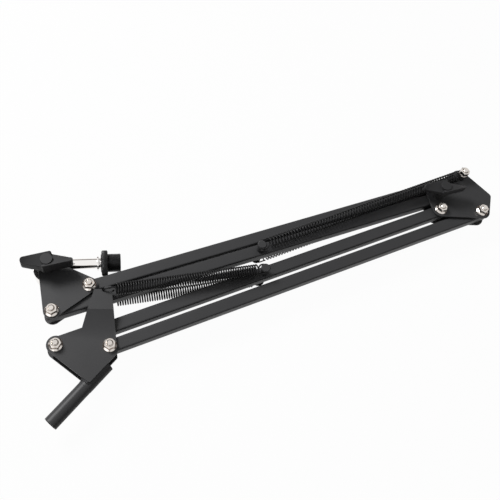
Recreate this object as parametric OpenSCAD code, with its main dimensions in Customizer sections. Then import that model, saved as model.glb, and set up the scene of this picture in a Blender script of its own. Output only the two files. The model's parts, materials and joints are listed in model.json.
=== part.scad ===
// Spring-balanced microphone boom arm, folded flat and lying on its side.
// Millimetres. The origin is the centre of the post's free end, +X runs along the
// folded lower arm, and +Z points out of the front side plates.
// The base bracket, the lower arm and the elbow plates make one parallelogram, and the
// elbow plates, the upper arm and the head plates make a second one.

/* [Arms] */
// Lower arm, from base pivot to elbow pivot
lower_arm = 375; // [300:1:420]
// Upper arm, from elbow pivot to head pivot, past the length of the lower arm
upper_extra = 1; // [0:0.5:4]
// Angle left between the folded arms
fold_gap = 2.2; // [2:0.1:4]
// Width of a square tube, across the arm
tube_w = 11; // [10:0.1:11.4]
// Depth of a square tube, from front to back
tube_t = 10; // [9:0.1:10.4]
// Wall of a tube
tube_wall = 1; // [0.8:0.1:1.5]
// Outer corner radius of a tube
tube_r = 1.5; // [1:0.1:2]
// Length of a tube past its end pivots
tube_tail = 5; // [4.6:0.1:5.1]

/* [Pivots] */
// Distance between the two base pivots
base_pitch = 41.8; // [41:0.1:43]
// Slope of the base pivots against the folded arm
base_rake = 21.5; // [21:0.1:23]
// Elbow clamp pivot, along the arm from the lower elbow pivot
elbow_dx = 6; // [4:0.5:9]
// Elbow clamp pivot, across the arm from the lower elbow pivot
elbow_dy = 13.8; // [13.4:0.1:15]
// Distance between the two head pivots
head_pitch = 36.4; // [36:0.1:38]
// Slope of the head pivots against the folded arm
head_rake = 17.4; // [17.2:0.1:19]
// Diameter of the pivot bolts
bolt_d = 5; // [4:0.5:5.5]
// Diameter of the two clamp bolts
clamp_d = 6; // [5:0.5:6.5]
// Radial gap round a turning bolt
run_gap = 0.06; // [0.03:0.01:0.1]
// Radial gap round a fixed bolt
fix_gap = 0.1; // [0.05:0.01:0.2]
// Height of a flange nut or bolt head
nut_h = 5; // [4:0.1:6]
// Distance across the flats of a nut or head
nut_af = 8; // [7:0.1:9]
// Diameter of the flange of a nut or head
flange_d = 11.3; // [10:0.1:12]
// Thickness of that flange
flange_t = 1.3; // [1:0.1:1.8]
// Bolt end that stands past its nut
bolt_tip = 1.2; // [0.6:0.1:2]

/* [Side plates] */
// Sheet thickness of all side plates
plate_t = 1.5; // [1.2:0.1:2]
// Diameter of those washers
washer_d = 11; // [10:0.1:12]
// Gap at each face of a washer
side_gap = 0.05; // [0.03:0.01:0.1]
// Radius of the base plate round its main pivot
base_r = 7.3; // [6.8:0.1:8.5]
// Flat top edge of the base plate above its main pivot
base_flat = 6.1; // [5.8:0.1:6.6]
// Radius of the elbow plate round the lower arm pivots
elbow_r = 8; // [7:0.1:9]
// Radius of the elbow plate round the clamp bolt
elbow_clamp_r = 11; // [10:0.1:12.5]
// Radius of the elbow plate round the spring anchor
elbow_anchor_r = 8; // [7:0.1:10]
// Front corner of the elbow plate, past the lower arm pivot
elbow_nose = 54.5; // [53:0.5:58]
// Radius of the head plate round its pivots
head_r = 6.8; // [6.3:0.1:8]
// Radius of the head plate round the clamp bolt
head_clamp_r = 8; // [7:0.1:9]
// Clamp bolt of the head, along the arm from its main pivot
head_clamp_dx = 8; // [6:0.1:10]
// Clamp bolt of the head, across the arm from its main pivot
head_clamp_dy = 36.6; // [35:0.1:40]

/* [Spring tabs] */
// Height of the first bend above the line of the base pivots
tab_bend = 14.2; // [13.5:0.1:15]
// Length of the slanted part of the tab
tab_run = 14; // [11:0.1:16]
// Outward step of the tab
tab_step = 5.75; // [5.5:0.05:6.5]
// Shoulder of the tab above the line of the base pivots
tab_shoulder = 45; // [43:0.1:46]
// Height of the tongue above the shoulder
tongue_h = 3; // [2.6:0.1:4]
// Width of the tongue that the spring hooks over
tongue_w = 5.9; // [5:0.1:6.2]
// Width of the slot beside the tongue
slot_w = 2; // [1.8:0.1:2.6]
// Depth of the slot below the shoulder
slot_h = 2.2; // [1.8:0.1:3]

/* [Post] */
// Diameter of the post between the side plates
post_d = 12; // [11.4:0.1:13]
// Diameter of the post where it drops into a table clamp
spigot_d = 11.6; // [11:0.1:11.8]
// Length of that part
spigot_len = 36; // [30:1:38]
// Bore of the post
post_bore = 9.4; // [6:0.1:9.8]
// Length of the post
post_len = 60.5; // [58:0.5:80]
// Slope of the post against the folded arm
post_rake = 27.5; // [25:0.5:30]
// Main base pivot below the top end of the post
post_drop = 16.5; // [15:0.1:18]
// Main base pivot beside the axis of the post
post_reach = 38.8; // [38:0.1:41]

/* [Springs] */
// Outer diameter of a spring
spring_od = 10.2; // [9:0.1:10.4]
// Diameter of the spring wire
wire_d = 1.2; // [1:0.05:1.4]
// Curls of a lower spring
lower_curls = 15; // [10:1:17]
// Curls of an upper spring
upper_curls = 21; // [14:1:23]
// Lower stud, from the base pivot
lower_stud_at = 184; // [150:1:200]
// Upper stud, from the elbow pivot
upper_stud_at = 190.5; // [160:0.5:215]
// Gap between an upper spring and the elbow plate under it
spring_lift = 0.4; // [0.2:0.1:0.6]
// Diameter of the neck of a stud
stud_neck = 4; // [3:0.1:5]
// Diameter of the head of a stud
stud_head = 8.2; // [6.5:0.1:9]

/* [Knobs] */
// Height of a wing knob
knob_h = 18; // [17:0.1:20]
// Gap between the wings and the spring that passes under them
wing_lift = 0.4; // [0.3:0.1:1]
// Fall of a wing's top from its ridge to its other edge
wing_fall = 3.3; // [2:0.1:4.5]
// Radius of the hub of a knob
knob_hub_r = 4.9; // [4.6:0.1:5]
// Length of a wing from the bolt axis
wing_len = 20.4; // [18:0.1:22]

/* [Microphone mount] */
// Diameter of the bent rod's shank
rod_d = 9; // [8:0.1:10]
// Offset of the shank from the clamp bolt
rod_offset = 6.3; // [5:0.1:6.6]
// Slope of the shank against the folded arm
rod_rake = 17.7; // [16:0.1:19]
// Radius of the flat eye of the rod
eye_r = 12; // [11.5:0.1:13]
// Collar of the rod, from the clamp bolt
collar_at = 40; // [38:0.1:41]
// Outer diameter of the threaded adapter
thread_d = 15.88; // [15.7:0.01:16]
// Diameter of the locking ring
ring_d = 21.8; // [20:0.1:22.6]
// Width of the locking ring
ring_w = 5.3; // [4:0.1:6]
// End of the adapter, from the clamp bolt
adapter_end = 59.7; // [58:0.1:64]

/* [Hidden] */
$fn = 64;

// A point at a distance and an angle
function polar(r, a) = [r * cos(a), r * sin(a)];
function unit(v) = v / norm(v);

// Levels of the stack, from the middle of the tubes outwards. The post fits between the plates.
plate_z = post_d / 2;
face_z = plate_z + plate_t;
washer_t = plate_z - tube_t / 2 - 2 * side_gap;

// Base bracket: the post's free end is the origin
post_top = polar(post_len, post_rake);
base_a = post_top + polar(-post_drop, post_rake) + polar(post_reach, post_rake + 90);
base_step = polar(base_pitch, -base_rake);
base_b = base_a + base_step;

// Elbow, upper arm and head, in the folded pose
elbow_a = base_a + [lower_arm, 0];
elbow_b = base_b + [lower_arm, 0];
elbow_clamp = elbow_a + [elbow_dx, elbow_dy];
head_step = polar(head_pitch, head_rake);
anchor = elbow_clamp + head_step;
upper_arm = lower_arm + upper_extra;
upper_dir = 180 - fold_gap;
head_a = elbow_clamp + polar(upper_arm, upper_dir);
head_b = head_a + head_step;
head_clamp = head_a + [head_clamp_dx, head_clamp_dy];

// Holes: a bolt turns in a tube and sits still in a plate
turn_hole = bolt_d + 2 * run_gap;
clamp_turn_hole = clamp_d + 2 * run_gap;
bolt_hole = bolt_d + 2 * fix_gap;
clamp_hole = clamp_d + 2 * fix_gap;
stud_hole = stud_neck + 2 * fix_gap;

// Corners of the base plate. Its lower edge runs along the post, a little past the post's axis.
base_corner = 2;
base_lap = 1.5;
post_turn = post_rake + base_rake;
base_edge = post_reach + base_lap - base_corner;
base_low = polar(-2.6, post_turn) + polar(base_edge, post_turn - 90);

// Front corner of the elbow plate
elbow_nose_y = -3;
elbow_nose_r = 4;

// Tab, measured along and above the line of the base pivots
tab_slope_left = 0.26;
tab_slope_right = 0.13;
tongue_left = 35.6;
tongue_chamfer = 0.8;
tongue_right = tongue_left + tongue_w;
tongue_top = tab_shoulder + tongue_h;
slot_floor = tab_shoulder - slot_h;
tab_left = (tab_bend * cos(base_rake) - base_flat) / sin(base_rake);
tab_foot = tab_bend - 3;
function tab_l(d) = tab_left + tab_slope_left * (d - tab_bend);
function tab_r(d) = tongue_right + tab_slope_right * (tab_shoulder - d);

// Springs, their pegs and their hooks
hook_gap = 0.15;
hook_open = 40;
hook_rings = 12;
lead_rings = 3;
lead_bend = 2.4;
lead_len = 5;
wire_sides = 6;
rings_per_curl = 8;
coil_r = (spring_od - wire_d) / 2;
lower_stud = base_a + [lower_stud_at, 0];
upper_stud = elbow_clamp + polar(upper_stud_at, upper_dir);
tongue_edge = base_a + polar(tongue_left, -base_rake) + polar(slot_floor + wire_d, 90 - base_rake);
lower_spring_z = plate_z + tab_step + plate_t / 2;
upper_spring_z = face_z + spring_lift + spring_od / 2;
groove = wire_d / 2 + hook_gap;
stud_collar_d = 6.4;
stud_cap_edge = 0.9;
stud_cap_bevel = 0.7;
stud_cap_h = 1.9;

// Spring anchor at the elbow, clamp bolts and knobs
sleeve_d = 8;
anchor_rim = 9.2;
clamp_head_af = 10;
clamp_head_h = 4;
clamp_reach = 14;
insert_af = 7;
insert_h = 5;
wing_z = spring_lift + spring_od + wing_lift;
wing_root_r = 6.5;
wing_tip_r = 2.4;
wing_tip = [wing_len - wing_tip_r, wing_tip_r - wing_root_r];
ridge_w = 0.5;
ridge_back = 5;
knob_cap_h = 0.4;
elbow_knob_turn = -5.4;
head_knob_turn = -5.8;

// Microphone rod, in its own frame: +X along the shank
eye_t = 2 * plate_z - 2 * fix_gap;
eye_cut = 4;
neck_at = 14;
neck_w = 11;
collar_d = 12.6;
collar_w = 1.2;
thread_end = adapter_end - 2.5;
adapter_at = collar_at + 3.1;
adapter_bore = rod_d + 2 * fix_gap;
ring_at = adapter_at + 0.5;
relief_d = thread_d - 0.7;
relief_end = ring_at + ring_w + 0.4;
ring_grooves = 24;
ring_groove_d = 1.2;

// Finishes
coat = [0.13, 0.13, 0.14];
zinc = [0.80, 0.80, 0.79];
chrome = [0.85, 0.85, 0.86];
plastic = [0.09, 0.09, 0.10];
brass = [0.72, 0.60, 0.32];

// Outline round a ring of circles, taken anticlockwise: straight edges and true arcs. The
// edges run a hair inside the tangents, so that each edge crosses its arcs.
outline_lap = 0.01;
function tangent_angle(p, q, rp, rq) =
    atan2(q[1] - p[1], q[0] - p[0]) - acos((rp - rq) / norm(q - p));
module tangent_outline(c, r) {
    n = len(c);
    polygon([for (i = [0:n - 1], s = [0, 1])
        let (j = (i + 1) % n, a = tangent_angle(c[i], c[j], r[i], r[j]), k = s == 0 ? i : j)
        c[k] + polar(r[k] - outline_lap, a)]);
    for (i = [0:n - 1]) translate(c[i]) circle(r[i]);
}

// A straight hole through everything, a hexagonal prism and a plain ring
module hole(p, d) {
    translate([p[0], p[1], -60]) cylinder(h = 120, d = d);
}
module hexagon(af, h) {
    cylinder(h = h, d = af / cos(30), $fn = 6);
}
module ring(od, id, h) {
    difference() {
        cylinder(h = h, d = od);
        translate([0, 0, -1]) cylinder(h = h + 2, d = id);
    }
}
module at(p, z) {
    translate([p[0], p[1], z]) children();
}

// Front and back copies about the middle of the tubes, or the back one alone
module back() {
    mirror([0, 0, 1]) children();
}
module both_sides() {
    children();
    back() children();
}

// Pivot fasteners: a flanged hexagon head, a shank and a flanged nut
module flange_head(rim) {
    cylinder(h = flange_t, d = rim);
    hexagon(nut_af, nut_h);
}
module flange_bolt(p, z, rim = flange_d) {
    at(p, -z) back() flange_head(rim);
    at(p, -z) cylinder(h = 2 * z + nut_h, d = bolt_d);
    at(p, z + nut_h) cylinder(h = bolt_tip, d1 = bolt_d, d2 = bolt_d - bolt_tip);
}
module flange_nut(p, z, rim = flange_d) {
    difference() {
        at(p, z) flange_head(rim);
        hole(p, bolt_hole);
    }
}
module washer_pair(p, d) {
    both_sides() at(p, tube_t / 2 + side_gap) ring(washer_d, d, washer_t);
}
module clamp_bolt(p) {
    at(p, -face_z) back() hexagon(clamp_head_af, clamp_head_h);
    at(p, -face_z) cylinder(h = 2 * face_z + clamp_reach, d = clamp_d);
}

// Square tube of an arm, from one pivot along +X, with a hole for each pin
module tube_profile(w, t, r) {
    square([w - 2 * r, t], center = true);
    square([w, t - 2 * r], center = true);
    for (x = [-1, 1], y = [-1, 1]) translate([x * (w / 2 - r), y * (t / 2 - r)]) circle(r);
}
module arm_tube(p, turn, length, holes) {
    at(p, 0) rotate([0, 0, turn]) difference() {
        translate([-tube_tail, 0, 0]) rotate([90, 0, 90])
            linear_extrude(length + 2 * tube_tail) difference() {
                tube_profile(tube_w, tube_t, tube_r);
                tube_profile(tube_w - 2 * tube_wall, tube_t - 2 * tube_wall, tube_r - tube_wall / 2);
            }
        for (h = holes) hole([h[0], 0], h[1]);
    }
}

// Stud through a tube: on each side a collar, a bare neck for the hook and a cap
module stud_cap() {
    rotate_extrude() polygon([[0, 0], [stud_head / 2, 0], [stud_head / 2, stud_cap_edge],
        [stud_head / 2 - stud_cap_bevel, stud_cap_h], [0, stud_cap_h]]);
}
module spring_stud(p, z) {
    at(p, -z - groove) cylinder(h = 2 * (z + groove), d = stud_neck);
    both_sides() {
        at(p, tube_t / 2) cylinder(h = z - groove - tube_t / 2, d = stud_collar_d);
        at(p, z + groove) stud_cap();
    }
}

// Extension spring, one unbroken tube along +X from peg to peg. Each end is a round hook,
// most of a circle, that bears on the far side of its peg. From the hook a straight lead
// runs onto the coil's cylinder and bends over into its slope. Every place on the wire is a
// pair: its centre, and the direction outwards from the hook's or the coil's middle.
function turned(a, v) = [v[0], v[1] * cos(a) - v[2] * sin(a), v[1] * sin(a) + v[2] * cos(a)];
function flipped(v, x) = [x - v[0], v[1], -v[2]];
function coil_slope(length, curls) = atan(2 * PI * coil_r * (curls + 1) / length);
function lead_swing(slope) = lead_bend * (1 - cos(slope)) / coil_r * 180 / PI;
function on_hook(c, w) = [[c + coil_r * cos(w), coil_r * sin(w), 0], [cos(w), sin(w), 0]];
function on_coil(x, f) = [[x, coil_r * cos(f), coil_r * sin(f)], [0, cos(f), sin(f)]];
function hook_line(peg, slope) =
    let (c = coil_r - wire_d / 2 - peg - hook_gap, tip = on_hook(c, -hook_open))
    concat([[tip[0] + wire_d * [sin(hook_open), cos(hook_open), 0], tip[1]]],
        [for (i = [0:hook_rings]) on_hook(c, -hook_open - (270 - hook_open) * i / hook_rings)],
        [for (i = [0:lead_rings]) let (t = slope * i / lead_rings)
            on_coil(c + lead_len + lead_bend * sin(t), lead_swing(t))]);
function spring_line(length, peg_a, a, peg_b, b, curls) =
    let (slope = coil_slope(length, curls), start = hook_line(peg_a, slope),
        end = hook_line(peg_b, slope), swing = lead_swing(slope), last = len(start) - 1,
        x0 = start[last][0][0], x1 = length - end[last][0][0], f0 = a + swing,
        f1 = b - swing + 360 * curls, m = round((f1 - f0) / 360 * rings_per_curl))
    concat([for (h = start) [turned(a, h[0]), turned(a, h[1])]],
        [for (i = [1:m - 1]) on_coil(x0 + (x1 - x0) * i / m, f0 + (f1 - f0) * i / m)],
        [for (i = [last:-1:0]) [turned(b, flipped(end[i][0], length)),
            turned(b, flipped(end[i][1], 0))]]);

// Distance from the wire's surface to itself, leaving out places less than a curl apart
function least_gap(line, n = 6) = min([for (i = [0:len(line) - 1 - n], j = [i + n:len(line) - 1])
    norm(line[i][0] - line[j][0])]) - wire_d;

// Round wire along a line of such pairs
module wire(line) {
    n = len(line);
    s = wire_sides;
    points = [for (i = [0:n - 1])
        let (out = line[i][1], run = line[min(i + 1, n - 1)][0] - line[max(i - 1, 0)][0],
            side = unit(cross(run, out)))
        for (k = [0:s - 1]) line[i][0] + wire_d / 2 * (cos(360 * k / s) * out + sin(360 * k / s) * side)];
    skin = [for (i = [0:n - 2], k = [0:s - 1])
        let (p = i * s + k, q = i * s + (k + 1) % s) each [[p, p + s, q + s], [p, q + s, q]]];
    ends = [for (k = [1:s - 2]) each [[0, k, k + 1], [(n - 1) * s, (n - 1) * s + k + 1, (n - 1) * s + k]]];
    polyhedron(points = points, faces = concat(skin, ends));
}

// A spring from point p to point q at height z, turned half round about its own axis at the back
module spring(p, q, z, side, line) {
    way = q - p;
    at(p, side * z) rotate([0, 0, atan2(way[1], way[0])]) rotate([side < 0 ? 180 : 0, 0, 0]) wire(line);
}
lower_line = spring_line(norm(lower_stud - tongue_edge), 0, 90, stud_neck / 2, 180, lower_curls);
upper_line = spring_line(norm(upper_stud - anchor), bolt_d / 2, 0, stud_neck / 2, 180, upper_curls);
module lower_spring(side) {
    spring(tongue_edge, lower_stud, lower_spring_z, side, lower_line);
}
module upper_spring(side) {
    spring(anchor, upper_stud, upper_spring_z, side, upper_line);
}
echo(lower_spring_gap = least_gap(lower_line), upper_spring_gap = least_gap(upper_line));

// Base bracket plate. Its frame starts at the main pivot and runs along the base pivots.
module base_outline() {
    lean = sqrt(1 + pow(tab_slope_right, 2));
    across = polar(1, post_turn - 90);
    reach = base_corner - outline_lap;
    edge = tab_r(0) - reach * lean;
    low = (base_edge - edge * across[0]) / (across[1] - tab_slope_right * across[0]);
    right = [edge - tab_slope_right * low, low];
    tangent_outline([[0, 0], base_low, right], [base_r, base_corner, base_corner]);
    polygon([[0, 0], right + reach / lean * [1, tab_slope_right],
        [tab_r(tab_bend), tab_bend], [tab_left, tab_bend], base_flat * [-sin(base_rake), cos(base_rake)]]);
}
module tab_outline() {
    polygon([[tab_l(tab_foot), tab_foot], [tab_r(tab_foot), tab_foot], [tongue_right, tab_shoulder],
        [tongue_right, tongue_top - tongue_chamfer], [tongue_right - tongue_chamfer, tongue_top],
        [tongue_left + tongue_chamfer, tongue_top], [tongue_left, tongue_top - tongue_chamfer],
        [tongue_left, slot_floor], [tongue_left - slot_w, slot_floor],
        [tongue_left - slot_w, tab_shoulder], [tab_l(tab_shoulder), tab_shoulder]]);
}

// The tab's side view: flat, slanted outwards, flat again, with one sheet thickness throughout
module tab_section() {
    mitre = plate_t * tan(atan(tab_step / tab_run) / 2);
    polygon([[tab_foot, plate_z], [tab_bend, plate_z], [tab_bend + tab_run, plate_z + tab_step],
        [tongue_top, plate_z + tab_step], [tongue_top, face_z + tab_step],
        [tab_bend + tab_run - mitre, face_z + tab_step], [tab_bend - mitre, face_z],
        [tab_foot, face_z]]);
}
module base_plate() {
    at(base_a, 0) rotate([0, 0, -base_rake]) difference() {
        union() {
            translate([0, 0, plate_z]) linear_extrude(plate_t) base_outline();
            intersection() {
                rotate([90, 0, 90]) linear_extrude(tab_r(tab_foot) + 5) tab_section();
                linear_extrude(2 * face_z + tab_step) tab_outline();
            }
        }
        hole([0, 0], bolt_hole);
        hole([base_pitch, 0], bolt_hole);
    }
}
module base_plate_front() {
    color(coat) base_plate();
}
module base_plate_back() {
    color(coat) back() base_plate();
}
module post_tube() {
    color(coat) rotate([0, 90, post_rake]) difference() {
        union() {
            cylinder(h = post_len, d = spigot_d);
            translate([0, 0, spigot_len]) cylinder(h = post_len - spigot_len, d = post_d);
        }
        translate([0, 0, -1]) cylinder(h = post_len + 2, d = post_bore);
    }
}
module base_pivot_bolts() {
    color(zinc) for (p = [base_a, base_b]) flange_bolt(p, face_z);
}
module base_pivot_nuts() {
    color(zinc) for (p = [base_a, base_b]) flange_nut(p, face_z);
}
module base_washers() {
    color(zinc) for (p = [base_a, base_b]) washer_pair(p, bolt_hole);
}

// Lower arm
module lower_main_tube() {
    color(coat) arm_tube(base_a, 0, lower_arm,
        [[0, turn_hole], [lower_stud_at, stud_hole], [lower_arm, turn_hole]]);
}
module lower_follower_tube() {
    color(coat) arm_tube(base_b, 0, lower_arm, [[0, turn_hole], [lower_arm, turn_hole]]);
}
module lower_spring_stud() {
    color(coat) spring_stud(lower_stud, lower_spring_z);
}
module lower_spring_front() {
    color(coat) lower_spring(1);
}
module lower_spring_back() {
    color(coat) lower_spring(-1);
}

// Elbow
module elbow_plate() {
    difference() {
        at(elbow_a, plate_z) linear_extrude(plate_t) tangent_outline(
            [[0, 0], base_step, [elbow_nose, elbow_nose_y], anchor - elbow_a, [elbow_dx, elbow_dy]],
            [elbow_r, elbow_r, elbow_nose_r, elbow_anchor_r, elbow_clamp_r]);
        for (p = [elbow_a, elbow_b, anchor]) hole(p, bolt_hole);
        hole(elbow_clamp, clamp_hole);
    }
}
module elbow_plate_front() {
    color(coat) elbow_plate();
}
module elbow_plate_back() {
    color(coat) back() elbow_plate();
}
module elbow_pivot_bolts() {
    color(zinc) for (p = [elbow_a, elbow_b]) flange_bolt(p, face_z);
}
module elbow_pivot_nuts() {
    color(zinc) for (p = [elbow_a, elbow_b]) flange_nut(p, face_z);
}
module elbow_washers() {
    color(zinc) {
        for (p = [elbow_a, elbow_b, anchor]) washer_pair(p, bolt_hole);
        washer_pair(elbow_clamp, clamp_hole);
    }
}
module elbow_clamp_bolt() {
    color(zinc) clamp_bolt(elbow_clamp);
}
module spring_anchor_bolt() {
    color(zinc) flange_bolt(anchor, upper_spring_z + groove, anchor_rim);
}
module spring_anchor_nut() {
    color(zinc) flange_nut(anchor, upper_spring_z + groove, anchor_rim);
}
module spring_anchor_sleeves() {
    color(plastic) both_sides() at(anchor, face_z)
        ring(sleeve_d, bolt_hole, upper_spring_z - groove - face_z);
}

// Wing knob on a clamp bolt, with a hexagonal insert in its foot. The top of each wing falls
// from a ridge along one edge, which starts a little past the bolt, to the other edge.
module wing() {
    hull() {
        linear_extrude(knob_h - wing_z - wing_fall)
            tangent_outline([[0, 0], wing_tip], [wing_root_r, wing_tip_r]);
        translate([-ridge_back, -wing_root_r, 0])
            cube([wing_tip[0] + ridge_back, ridge_w, knob_h - wing_z]);
    }
}
module wing_knob(p, turn) {
    at(p, face_z) rotate([0, 0, turn]) difference() {
        union() {
            cylinder(h = knob_h + knob_cap_h, r = knob_hub_r);
            for (a = [0, 180]) translate([0, 0, wing_z]) rotate(a) wing();
        }
        translate([0, 0, -1]) cylinder(h = clamp_reach + 1.5, d = clamp_turn_hole);
        translate([0, 0, -1]) hexagon(insert_af, insert_h + 1);
    }
}
module knob_insert(p, turn) {
    at(p, face_z) rotate([0, 0, turn]) difference() {
        hexagon(insert_af, insert_h);
        translate([0, 0, -1]) cylinder(h = insert_h + 2, d = clamp_turn_hole);
    }
}
module elbow_knob() {
    color(plastic) wing_knob(elbow_clamp, elbow_knob_turn);
}
module elbow_knob_insert() {
    color(brass) knob_insert(elbow_clamp, elbow_knob_turn);
}

// Upper arm
module upper_main_tube() {
    color(coat) arm_tube(elbow_clamp, upper_dir, upper_arm,
        [[0, clamp_turn_hole], [upper_stud_at, stud_hole], [upper_arm, turn_hole]]);
}
module upper_follower_tube() {
    color(coat) arm_tube(anchor, upper_dir, upper_arm, [[0, turn_hole], [upper_arm, turn_hole]]);
}
module upper_spring_stud() {
    color(coat) spring_stud(upper_stud, upper_spring_z);
}
module upper_spring_front() {
    color(coat) upper_spring(1);
}
module upper_spring_back() {
    color(coat) upper_spring(-1);
}

// Head
module head_plate() {
    difference() {
        at(head_a, plate_z) linear_extrude(plate_t)
            tangent_outline([[0, 0], head_step, head_clamp - head_a], [head_r, head_r, head_clamp_r]);
        for (p = [head_a, head_b]) hole(p, bolt_hole);
        hole(head_clamp, clamp_hole);
    }
}
module head_plate_front() {
    color(coat) head_plate();
}
module head_plate_back() {
    color(coat) back() head_plate();
}
module head_pivot_bolts() {
    color(zinc) for (p = [head_a, head_b]) flange_bolt(p, face_z);
}
module head_pivot_nuts() {
    color(zinc) for (p = [head_a, head_b]) flange_nut(p, face_z);
}
module head_washers() {
    color(zinc) for (p = [head_a, head_b]) washer_pair(p, bolt_hole);
}
module head_clamp_bolt() {
    color(zinc) clamp_bolt(head_clamp);
}
module head_knob() {
    color(plastic) wing_knob(head_clamp, head_knob_turn);
}
module head_knob_insert() {
    color(brass) knob_insert(head_clamp, head_knob_turn);
}

// Microphone mount. Lengths along the rod start at the clamp bolt.
module rod_frame() {
    at(head_clamp, 0) rotate([0, 0, -rod_rake]) children();
}
module along_rod(x, length, d) {
    translate([x, rod_offset, 0]) rotate([0, 90, 0]) cylinder(h = length, d = d);
}
module eye_outline() {
    edge = sqrt(pow(eye_r, 2) - pow(eye_cut, 2));
    intersection() {
        circle(eye_r);
        translate([-2 * eye_r + eye_cut, -eye_r]) square(2 * eye_r);
    }
    polygon([[eye_cut, -edge], [neck_at, rod_offset - neck_w / 2],
        [neck_at, rod_offset + neck_w / 2], [eye_cut, edge]]);
}
module mic_rod() {
    color(chrome) rod_frame() difference() {
        union() {
            translate([0, 0, -eye_t / 2]) linear_extrude(eye_t) eye_outline();
            along_rod(neck_at - 1, thread_end - neck_at + 1, rod_d);
            along_rod(collar_at, collar_w, collar_d);
        }
        hole([0, 0], clamp_turn_hole);
    }
}
module thread_adapter() {
    color(plastic) rod_frame() difference() {
        union() {
            along_rod(adapter_at, adapter_end - adapter_at, relief_d);
            along_rod(relief_end, adapter_end - relief_end, thread_d);
        }
        along_rod(adapter_at - 1, adapter_end - adapter_at + 2, adapter_bore);
    }
}
module locking_ring() {
    color(plastic) rod_frame() difference() {
        along_rod(ring_at, ring_w, ring_d);
        along_rod(ring_at - 1, ring_w + 2, relief_d + 2 * run_gap);
        for (i = [0:ring_grooves - 1])
            translate([ring_at - 1, rod_offset, 0]) rotate([360 * i / ring_grooves, 0, 0])
                translate([0, ring_d / 2, 0]) rotate([0, 90, 0]) cylinder(h = ring_w + 2, d = ring_groove_d);
    }
}

base_plate_front();
base_plate_back();
post_tube();
base_pivot_bolts();
base_pivot_nuts();
base_washers();
lower_main_tube();
lower_follower_tube();
lower_spring_stud();
lower_spring_front();
lower_spring_back();
elbow_plate_front();
elbow_plate_back();
elbow_pivot_bolts();
elbow_pivot_nuts();
elbow_washers();
elbow_clamp_bolt();
elbow_knob();
elbow_knob_insert();
spring_anchor_bolt();
spring_anchor_nut();
spring_anchor_sleeves();
upper_main_tube();
upper_follower_tube();
upper_spring_stud();
upper_spring_front();
upper_spring_back();
head_plate_front();
head_plate_back();
head_pivot_bolts();
head_pivot_nuts();
head_washers();
head_clamp_bolt();
head_knob();
head_knob_insert();
mic_rod();
thread_adapter();
locking_ring();
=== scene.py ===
"""Spring-balanced microphone boom arm, folded and lying on its side on a white sweep.

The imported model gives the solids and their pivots. This script dresses them: sheet metal gets
broken edges and powder coat, the springs get their full count of coils, and the fasteners,
threads and knobs get their turned and moulded detail. Lengths are millimetres until a mesh
is made.
"""

import json  # noqa: E402
import logging  # noqa: E402
import math  # noqa: E402
from dataclasses import dataclass  # noqa: E402
from enum import Enum  # noqa: E402

import bmesh  # noqa: E402
import bpy  # noqa: E402
import numpy as np  # noqa: E402
from mathutils import Matrix, Vector  # noqa: E402

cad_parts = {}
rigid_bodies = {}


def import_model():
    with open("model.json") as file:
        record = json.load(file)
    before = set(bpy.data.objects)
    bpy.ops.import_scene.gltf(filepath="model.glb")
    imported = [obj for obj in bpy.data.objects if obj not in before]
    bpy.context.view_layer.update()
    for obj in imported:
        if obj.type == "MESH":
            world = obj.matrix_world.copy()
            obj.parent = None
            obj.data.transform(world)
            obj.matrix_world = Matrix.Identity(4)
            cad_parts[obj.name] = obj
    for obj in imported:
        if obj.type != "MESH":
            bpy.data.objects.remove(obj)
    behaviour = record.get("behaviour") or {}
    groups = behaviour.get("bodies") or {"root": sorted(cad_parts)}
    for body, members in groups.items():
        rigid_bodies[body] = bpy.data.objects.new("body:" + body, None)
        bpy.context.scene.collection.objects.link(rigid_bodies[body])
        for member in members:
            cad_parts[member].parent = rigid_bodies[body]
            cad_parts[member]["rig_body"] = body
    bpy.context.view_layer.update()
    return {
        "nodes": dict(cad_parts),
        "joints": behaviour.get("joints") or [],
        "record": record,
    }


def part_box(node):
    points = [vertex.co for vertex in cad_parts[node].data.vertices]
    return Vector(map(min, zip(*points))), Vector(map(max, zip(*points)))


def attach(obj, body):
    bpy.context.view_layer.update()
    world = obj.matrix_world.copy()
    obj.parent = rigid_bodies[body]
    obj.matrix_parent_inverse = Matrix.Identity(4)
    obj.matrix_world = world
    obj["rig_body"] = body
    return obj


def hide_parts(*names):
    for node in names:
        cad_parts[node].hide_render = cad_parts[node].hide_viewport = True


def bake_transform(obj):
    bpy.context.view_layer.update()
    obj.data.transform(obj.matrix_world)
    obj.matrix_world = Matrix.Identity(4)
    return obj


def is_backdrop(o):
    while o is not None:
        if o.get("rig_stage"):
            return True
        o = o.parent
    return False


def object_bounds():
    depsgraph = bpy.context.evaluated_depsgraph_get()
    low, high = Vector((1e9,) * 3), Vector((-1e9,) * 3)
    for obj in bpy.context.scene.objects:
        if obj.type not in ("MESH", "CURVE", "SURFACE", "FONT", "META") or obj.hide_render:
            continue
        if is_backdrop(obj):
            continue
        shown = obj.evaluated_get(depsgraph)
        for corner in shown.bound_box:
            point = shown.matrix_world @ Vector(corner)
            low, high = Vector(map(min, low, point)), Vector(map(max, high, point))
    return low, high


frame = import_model()

MM = 0.001
TURN = 2.0 * math.pi
log = logging.getLogger("boom_arm")

Form = tuple[np.ndarray, list]
Tree = bpy.types.NodeTree
Socket = bpy.types.NodeSocket

# Lengths that no joint or mount gives: the springs' tongue from the first base pivot, the top
# of the plate's tab over the nuts' seats, and the anchor nut's seat over the middle plane.
TONGUE_ALONG, TONGUE_ABOVE = 35.6, 44.0
TAB_STEP = 5.75
ANCHOR_SEAT = 13.75


# Places from the frame


def joint_place(name: str) -> np.ndarray:
    """Place of a joint's axis in the frame, in millimetres.

    Args:
        name: the joint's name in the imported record.

    Returns:
        The three coordinates.
    """
    joint = next(j for j in frame["joints"] if j["name"] == name)
    return np.array(joint["pos_m"], float) / MM


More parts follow.
